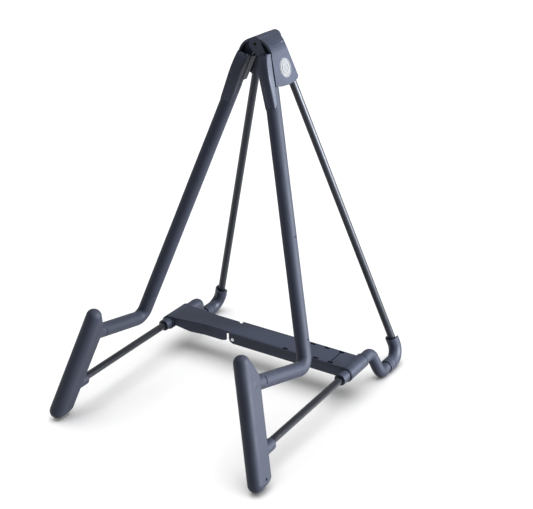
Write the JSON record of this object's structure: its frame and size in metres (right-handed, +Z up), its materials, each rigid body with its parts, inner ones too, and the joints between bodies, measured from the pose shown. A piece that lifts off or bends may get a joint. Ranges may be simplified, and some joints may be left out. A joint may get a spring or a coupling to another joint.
{
  "type": "folding guitar stand",
  "caption": "Folding A-frame stand that cradles a guitar body: leaning padded legs, upright end stops, rear rods and a folding crossbar.",
  "frame": {"origin": "middle of the footprint on the floor, under the stand", "axes": "+Z up; -Y is the open cradle side that faces the player; +X to the right seen from that side, along the crossbar"},
  "size_m": [0.3088, 0.364, 0.4383],
  "materials": {
    "moulding": "matte charcoal moulding",
    "sleeve": "soft matte sleeve",
    "stop": "soft matte, fine grain",
    "tube_steel": "black",
    "rod": "satin black powder coat",
    "bright_steel": "bright",
    "badge": "satin"
  },
  "bodies": {
    "right_frame": {"right_head_shell": "moulding", "right_tube_clamp": "moulding", "right_leg_tube": "tube_steel", "right_leg_sleeve": "sleeve", "right_end_stop": "stop", "right_lower_rod": "rod", "right_base_tube": "moulding", "right_foot_ring": "stop", "right_rear_elbow": "moulding", "right_rear_rod": "rod", "right_badge": "badge", "hinge_pin": "bright_steel"},
    "left_frame": {"left_head_shell": "moulding", "left_tube_clamp": "moulding", "left_leg_tube": "tube_steel", "left_leg_sleeve": "sleeve", "left_end_stop": "stop", "left_lower_rod": "rod", "left_base_tube": "moulding", "left_foot_ring": "stop", "left_rear_elbow": "moulding", "left_rear_rod": "rod", "left_badge": "badge"},
    "crossbar_lever": {"crossbar_lever": "moulding"},
    "crossbar_channel": {"crossbar_channel": "moulding", "front_pivot_rivet": "bright_steel", "rear_pivot_rivet": "bright_steel"}
  },
  "joints": [
    {"name": "fold", "type": "hinge", "parent": "right_frame", "child": "left_frame", "pos_m": [0, 0.07305, 0.43], "axis": [0, -1, 0], "range_deg": [0, 20]},
    {"name": "lever_hinge", "type": "hinge", "parent": "left_frame", "child": "crossbar_lever", "pos_m": [-0.13235, 0.0668, 0.03909], "axis": [0, -1, 0], "range_deg": [0, 85.5]},
    {"name": "channel_hinge", "type": "hinge", "parent": "right_frame", "child": "crossbar_channel", "pos_m": [0.13235, 0.0688, 0.03909], "axis": [0, 1, 0], "range_deg": [0, 26.3]}
  ],
  "couplings": [
    {"joint": "lever_hinge", "follows": "fold", "ratio": 4.2667},
    {"joint": "channel_hinge", "follows": "fold", "ratio": 1.3099}
  ]
}
